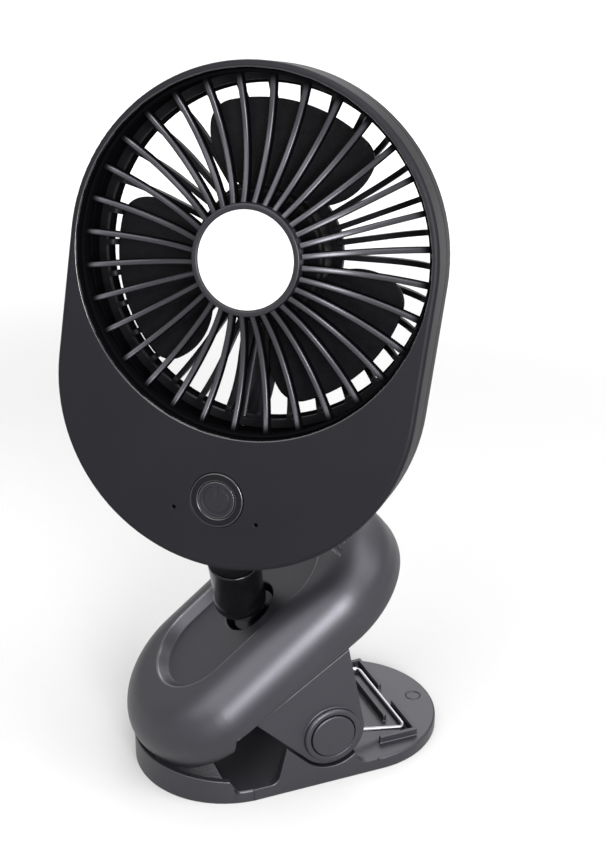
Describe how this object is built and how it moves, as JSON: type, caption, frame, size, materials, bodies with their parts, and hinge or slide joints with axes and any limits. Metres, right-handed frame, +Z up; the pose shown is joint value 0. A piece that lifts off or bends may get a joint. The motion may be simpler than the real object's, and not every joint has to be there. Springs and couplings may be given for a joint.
{
  "type": "clip-on desk fan",
  "caption": "Rechargeable desk fan: a round-ended head with radial grilles on a ball neck, carried by a sprung clamp that also stands on its base.",
  "frame": {"origin": "middle of the clamp's base, on the surface it stands on", "axes": "+Z up, +X towards the clamp's tail, -Y towards the side the head faces; the jaw's tip is at -X"},
  "size_m": [0.1175, 0.0872, 0.2215],
  "materials": {
    "clip_plastic": "fine satin grain, charcoal",
    "head_plastic": "fine matte grain, charcoal",
    "grille_plastic": "matte, near black",
    "fan_plastic": "satin, near black",
    "neck_plastic": "polished black",
    "bezel_plastic": "satin ring",
    "button_plastic": "satin",
    "badge_white": "smooth white disc",
    "foam": "speckled grey foam",
    "spring_steel": "bright drawn wire",
    "steel": "turned, plain",
    "light_pipe": "clear",
    "board": "lacquered green",
    "switch_black": "moulded",
    "cell_foil": "soft foil pouch",
    "stator_iron": "lacquered winding on an iron core",
    "magnet": "sintered",
    "bush_brass": "turned",
    "lead_sleeve": "soft sleeve"
  },
  "bodies": {
    "base": {"base_plate": "clip_plastic", "jaw_foam_lower": "foam", "pivot_pin": "steel", "torsion_spring": "spring_steel"},
    "upper_jaw": {"upper_shell": "clip_plastic", "jaw_frame": "clip_plastic", "jaw_foam_upper": "foam", "pivot_caps": "clip_plastic", "jaw_screws": "steel"},
    "neck_stud": {"ball_stud": "neck_plastic", "stud_washer": "steel", "stud_screw": "steel"},
    "neck_socket": {"socket_cup": "neck_plastic", "socket_collar": "neck_plastic", "neck_washer": "steel", "neck_screw": "steel"},
    "head": {"front_cover": "head_plastic", "rear_housing": "head_plastic", "front_grille": "grille_plastic", "hub_badge": "badge_white", "rear_grille": "grille_plastic", "motor_stator": "stator_iron", "motor_bush": "bush_brass", "motor_lead": "lead_sleeve", "button_bezel": "bezel_plastic", "tact_switch": "switch_black", "control_board": "board", "board_screws": "steel", "indicator_pipes": "light_pipe", "battery_cell": "cell_foil", "usb_socket": "steel", "housing_screws": "steel"},
    "fan": {"fan_blades": "fan_plastic", "motor_shaft": "steel", "magnet_ring": "magnet"},
    "button": {"power_button": "button_plastic", "switch_plunger": "switch_black"}
  },
  "joints": [
    {"name": "jaw_open", "type": "hinge", "parent": "base", "child": "upper_jaw", "pos_m": [0.0034, 0, 0.0175], "axis": [0, 1, 0], "range_deg": [0, 35], "stiffness_Nm_per_rad": 1.2, "springref_deg": -34.38, "deforming": ["torsion_spring"]},
    {"name": "neck_swivel", "type": "hinge", "parent": "upper_jaw", "child": "neck_stud", "pos_m": [-0.01599, 0, 0.05514], "axis": [-0.6157, 0, 0.788], "continuous": true},
    {"name": "neck_tilt", "type": "hinge", "parent": "neck_stud", "child": "neck_socket", "pos_m": [-0.01599, 0, 0.05514], "axis": [0.7755, -0.6242, -0.0945], "range_deg": [-30, 30]},
    {"name": "head_twist", "type": "hinge", "parent": "neck_socket", "child": "head", "pos_m": [-0.01599, 0, 0.05514], "axis": [-0.2114, -0.3977, 0.8928], "continuous": true},
    {"name": "fan_spin", "type": "hinge", "parent": "head", "child": "fan", "pos_m": [-0.01917, -0.0214, 0.17046], "axis": [-0.6055, -0.7778, 0.1685], "continuous": true},
    {"name": "button_press", "type": "slide", "parent": "head", "child": "button", "axis": [0.6055, 0.7778, -0.1685], "range_m": [0, 0.0008], "stiffness_N_per_m": 1500, "springref_m": -0.0004}
  ]
}
